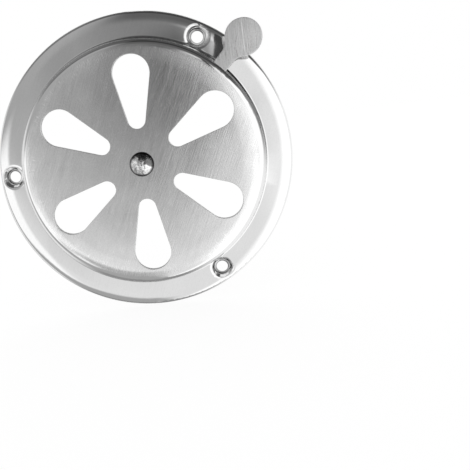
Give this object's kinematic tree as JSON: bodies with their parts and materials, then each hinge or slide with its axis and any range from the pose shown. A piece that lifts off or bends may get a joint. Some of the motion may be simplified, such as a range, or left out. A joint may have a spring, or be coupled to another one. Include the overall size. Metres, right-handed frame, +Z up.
{
  "type": "round vent grille",
  "caption": "Round pressed-steel vent grille with teardrop openings and a turning shutter behind them, worked by a round tab; screws to a wall or panel.",
  "frame": {"origin": "on the vent's centre line, in the wall plane that the rim and the screw dimples stand on", "axes": "-Y towards the room (the front), +Y into the wall, +Z up; the pivot bolt lies along Y"},
  "size_m": [0.102, 0.0096, 0.102],
  "materials": {
    "grille_steel": "fine brushed and polished stainless",
    "shutter_steel": "brushed stainless",
    "bolt_steel": "polished stainless",
    "washer_steel": "bright stainless",
    "nut_steel": "bright stainless"
  },
  "bodies": {
    "frame": {"fixed_grille": "grille_steel", "pivot_bolt": "bolt_steel", "washer": "washer_steel", "nut": "nut_steel"},
    "shutter": {"shutter": "shutter_steel"}
  },
  "joints": [
    {"name": "shutter_turn", "type": "hinge", "parent": "frame", "child": "shutter", "pos_m": [0, -0.00645, 0], "axis": [0, 1, 0], "range_deg": [0, 30]}
  ]
}
